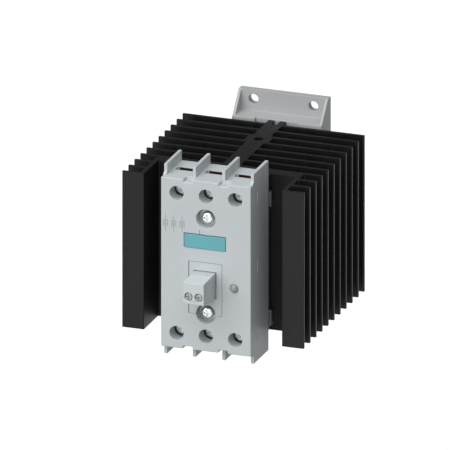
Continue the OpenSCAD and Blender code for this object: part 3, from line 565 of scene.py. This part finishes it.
def buildWindow(w):
    # a dome: radius * sin(a) against depth seat - rise * cos(a), then the straight guide and its collar
    a = np.linspace(0, np.pi / 2, 16)
    rise = w["seat"] - w["front"]
    dome = np.column_stack([w["radius"] * np.sin(a), w["seat"] - rise * np.cos(a)])
    rest = [[w["radius"], w["collarFront"]], [w["collar"], w["collarFront"]], [w["collar"], w["collarBack"]],
            [0, w["collarBack"]]]
    profile = np.concatenate([dome, rest])
    piece = turned("lampWindow", profile, lamp["x"], lamp["z"], finish["lens"], "led_lens")
    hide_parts("led_lens")
    return piece


buildWindow(window)
for nodeName, width in rounding.items():
    softened(nodeName, width, softEdge)
print("relay shell ready")


ink = {"proud": 0.03, "sunk": 0.04}


def buildStrokes(name, strokes, width, material, node):
    # each stroke is a flat bar from one point to the other: corners at +-width/2 to its side, at two depths
    s = np.asarray(strokes, float)
    along = s[:, 2:] - s[:, :2]
    along /= np.linalg.norm(along, axis=1, keepdims=True)
    side = np.stack([-along[:, 1], along[:, 0]], -1) * width / 2
    a, b = s[:, :2] - along * width / 2, s[:, 2:] + along * width / 2
    ring = np.stack([a - side, b - side, b + side, a + side], 1)
    low = np.concatenate([ring, np.full(ring.shape[:2] + (1,), ink["sunk"])], -1)
    high = np.concatenate([ring, np.full(ring.shape[:2] + (1,), -ink["proud"])], -1)
    points = np.stack([low, high], 1).reshape(-1, 3)
    box = np.array([[0, 1, 2, 3], [4, 5, 6, 7], [0, 1, 5, 4], [1, 2, 6, 5], [2, 3, 7, 6], [3, 0, 4, 7]])
    faces = (np.arange(len(s))[:, None, None] * 8 + box[None]).reshape(-1, 4)
    return meshPiece(name, behindFace(points), faces, material, node)


poles = {
    "columns": (-20.2, -16.1, -11.9), "ends": (15.6, 24.0), "box": (18.4, 21.3), "boxHalf": 1.1,
    "valve": (19.2, 20.6), "valveHalf": 0.6, "line": 0.16,
}


def buildPictogram(p):
    # a line broken by a box with a valve sign in it, repeated at every column
    (low, high), (z0, z1), (v0, v1) = p["ends"], p["box"], p["valve"]
    w, v = p["boxHalf"], p["valveHalf"]
    sign = np.array([
        [0, high, 0, z1], [0, z0, 0, low], [-w, z1, w, z1], [-w, z0, w, z0], [-w, z0, -w, z1], [w, z0, w, z1],
        [-v, v1, v, v1], [-v, v1, 0, v0], [v, v1, 0, v0], [-v, v0, v, v0],
    ])
    strokes = sign[None] + np.array(p["columns"])[:, None, None] * np.array([1, 0, 1, 0])
    return buildStrokes("poleSymbols", strokes.reshape(-1, 4), p["line"], finish["ink"], "front_cover")


buildPictogram(poles)

index = {"x": -3.1, "low": 15.95, "high": 17.9, "line": 0.22}
indexStroke = [[index["x"], index["low"], index["x"], index["high"]]]
buildStrokes("indexLine", indexStroke, index["line"], finish["darkInk"], "front_cover")
print("printed lines ready")


coil = {
    "low": -33.7, "high": -22.3, "y": -5.8, "radius": 1.25, "wire": 0.2, "turns": 9, "shortest": 0.703,
    "ringsPerTurn": 28, "sides": 12, "smoothAngle": 50,
}


def buildSpring(c):
    # a tube of radius wire carried along x = R cos(a), y = R sin(a), z rising evenly, with closed flat ends
    rings, sides = c["turns"] * c["ringsPerTurn"], c["sides"]
    t = np.linspace(0, 1, rings + 1)
    a = 2 * np.pi * c["turns"] * t
    b = np.linspace(0, 2 * np.pi, sides, endpoint=False)
    r = c["radius"] + c["wire"] * np.cos(b)[None, :]
    z = c["low"] + (c["high"] - c["low"]) * t[:, None] + c["wire"] * np.sin(b)[None, :]
    points = np.stack([r * np.cos(a)[:, None], c["y"] + r * np.sin(a)[:, None], z], -1).reshape(-1, 3)
    faces = list(gridFaces(rings + 1, sides)) + [np.arange(sides)[::-1], rings * sides + np.arange(sides)]
    piece = meshPiece("returnSpring", points, faces, finish["wire"], "latch_spring", c["smoothAngle"])
    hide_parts("latch_spring")
    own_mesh(piece)
    return piece


buildSpring(coil)
print("spring ready")


studio = {
    "floor": -900.0, "floorSize": 60000.0, "floorColour": (0.93, 0.93, 0.93), "floorGlow": 0.17, "world": 0.2,
    "lights": {  # azimuth (0 is the front, 90 is +X), elevation, strength and width, angles in degrees
        "overheadLight": (0, 75, 1.28, 70),
        "frontLight": (-16, 28, 2.45, 80),
    },
}


def broadLight(name, azimuth, elevation, strength, spread):
    # a far light that shines along (-sin a * cos e, cos a * cos e, -sin e)
    light = bpy.data.lights.new(name, "SUN")
    light.energy = strength
    light.angle = np.radians(spread)
    a, e = np.radians(azimuth), np.radians(elevation)
    shines = Vector((-np.sin(a) * np.cos(e), np.cos(a) * np.cos(e), -np.sin(e)))
    holder = bpy.data.objects.new(name, light)
    holder.rotation_euler = shines.to_track_quat("-Z", "Y").to_euler()
    bpy.context.scene.collection.objects.link(holder)
    return holder


def layFloor(s):
    # a wide square below the object, a little bright of itself
    reach = s["floorSize"] * milli / 2
    corners = [(-reach, -reach, 0), (reach, -reach, 0), (reach, reach, 0), (-reach, reach, 0)]
    mesh = bpy.data.meshes.new("studioFloor")
    mesh.from_pydata(corners, [], [(0, 1, 2, 3)])
    floor = bpy.data.objects.new("studioFloor", mesh)
    floor.location.z = s["floor"] * milli
    floor.visible_diffuse = False  # the floor doesn't throw its light back onto the object
    bpy.context.scene.collection.objects.link(floor)
    material = mouldedPlastic("paleFloor", s["floorColour"], 0.9, grain=0.0, shade=0.01)
    shader = material.node_tree.nodes["Principled BSDF"]
    shader.inputs["Emission Color"].default_value = (1, 1, 1, 1)
    shader.inputs["Emission Strength"].default_value = s["floorGlow"]
    mesh.materials.append(material)
    return floor


def paleWorld(strength):
    # an even white light from all round
    world = bpy.data.worlds.new("paleStudio")
    world.use_nodes = True
    background = world.node_tree.nodes["Background"]
    background.inputs["Color"].default_value = (1, 1, 1, 1)
    background.inputs["Strength"].default_value = strength
    return world


layFloor(studio)
bpy.context.scene.world = paleWorld(studio["world"])
for lightName, values in studio["lights"].items():
    broadLight(lightName, *values)

view = {
    "azimuth": 19.78, "elevation": 19.96, "width": 0.2123, "distance": 1.5,  # degrees and metres
    "target": (0.00625, -0.1026, 0.01853),
}


def productCamera(v):
    # a parallel view from target + distance * (sin a * cos e, -cos a * cos e, sin e)
    a, e = np.radians(v["azimuth"]), np.radians(v["elevation"])
    backwards = Vector((np.sin(a) * np.cos(e), -np.cos(a) * np.cos(e), np.sin(e)))
    optics = bpy.data.cameras.new("productCamera")
    optics.type = "ORTHO"
    optics.ortho_scale = v["width"]
    camera = bpy.data.objects.new("productCamera", optics)
    camera.location = Vector(v["target"]) + backwards * v["distance"]
    camera.rotation_euler = (-backwards).to_track_quat("-Z", "Y").to_euler()
    bpy.context.scene.collection.objects.link(camera)
    return camera


bpy.context.scene.camera = productCamera(view)
bpy.context.scene.view_settings.view_transform = "Standard"
print("studio ready")
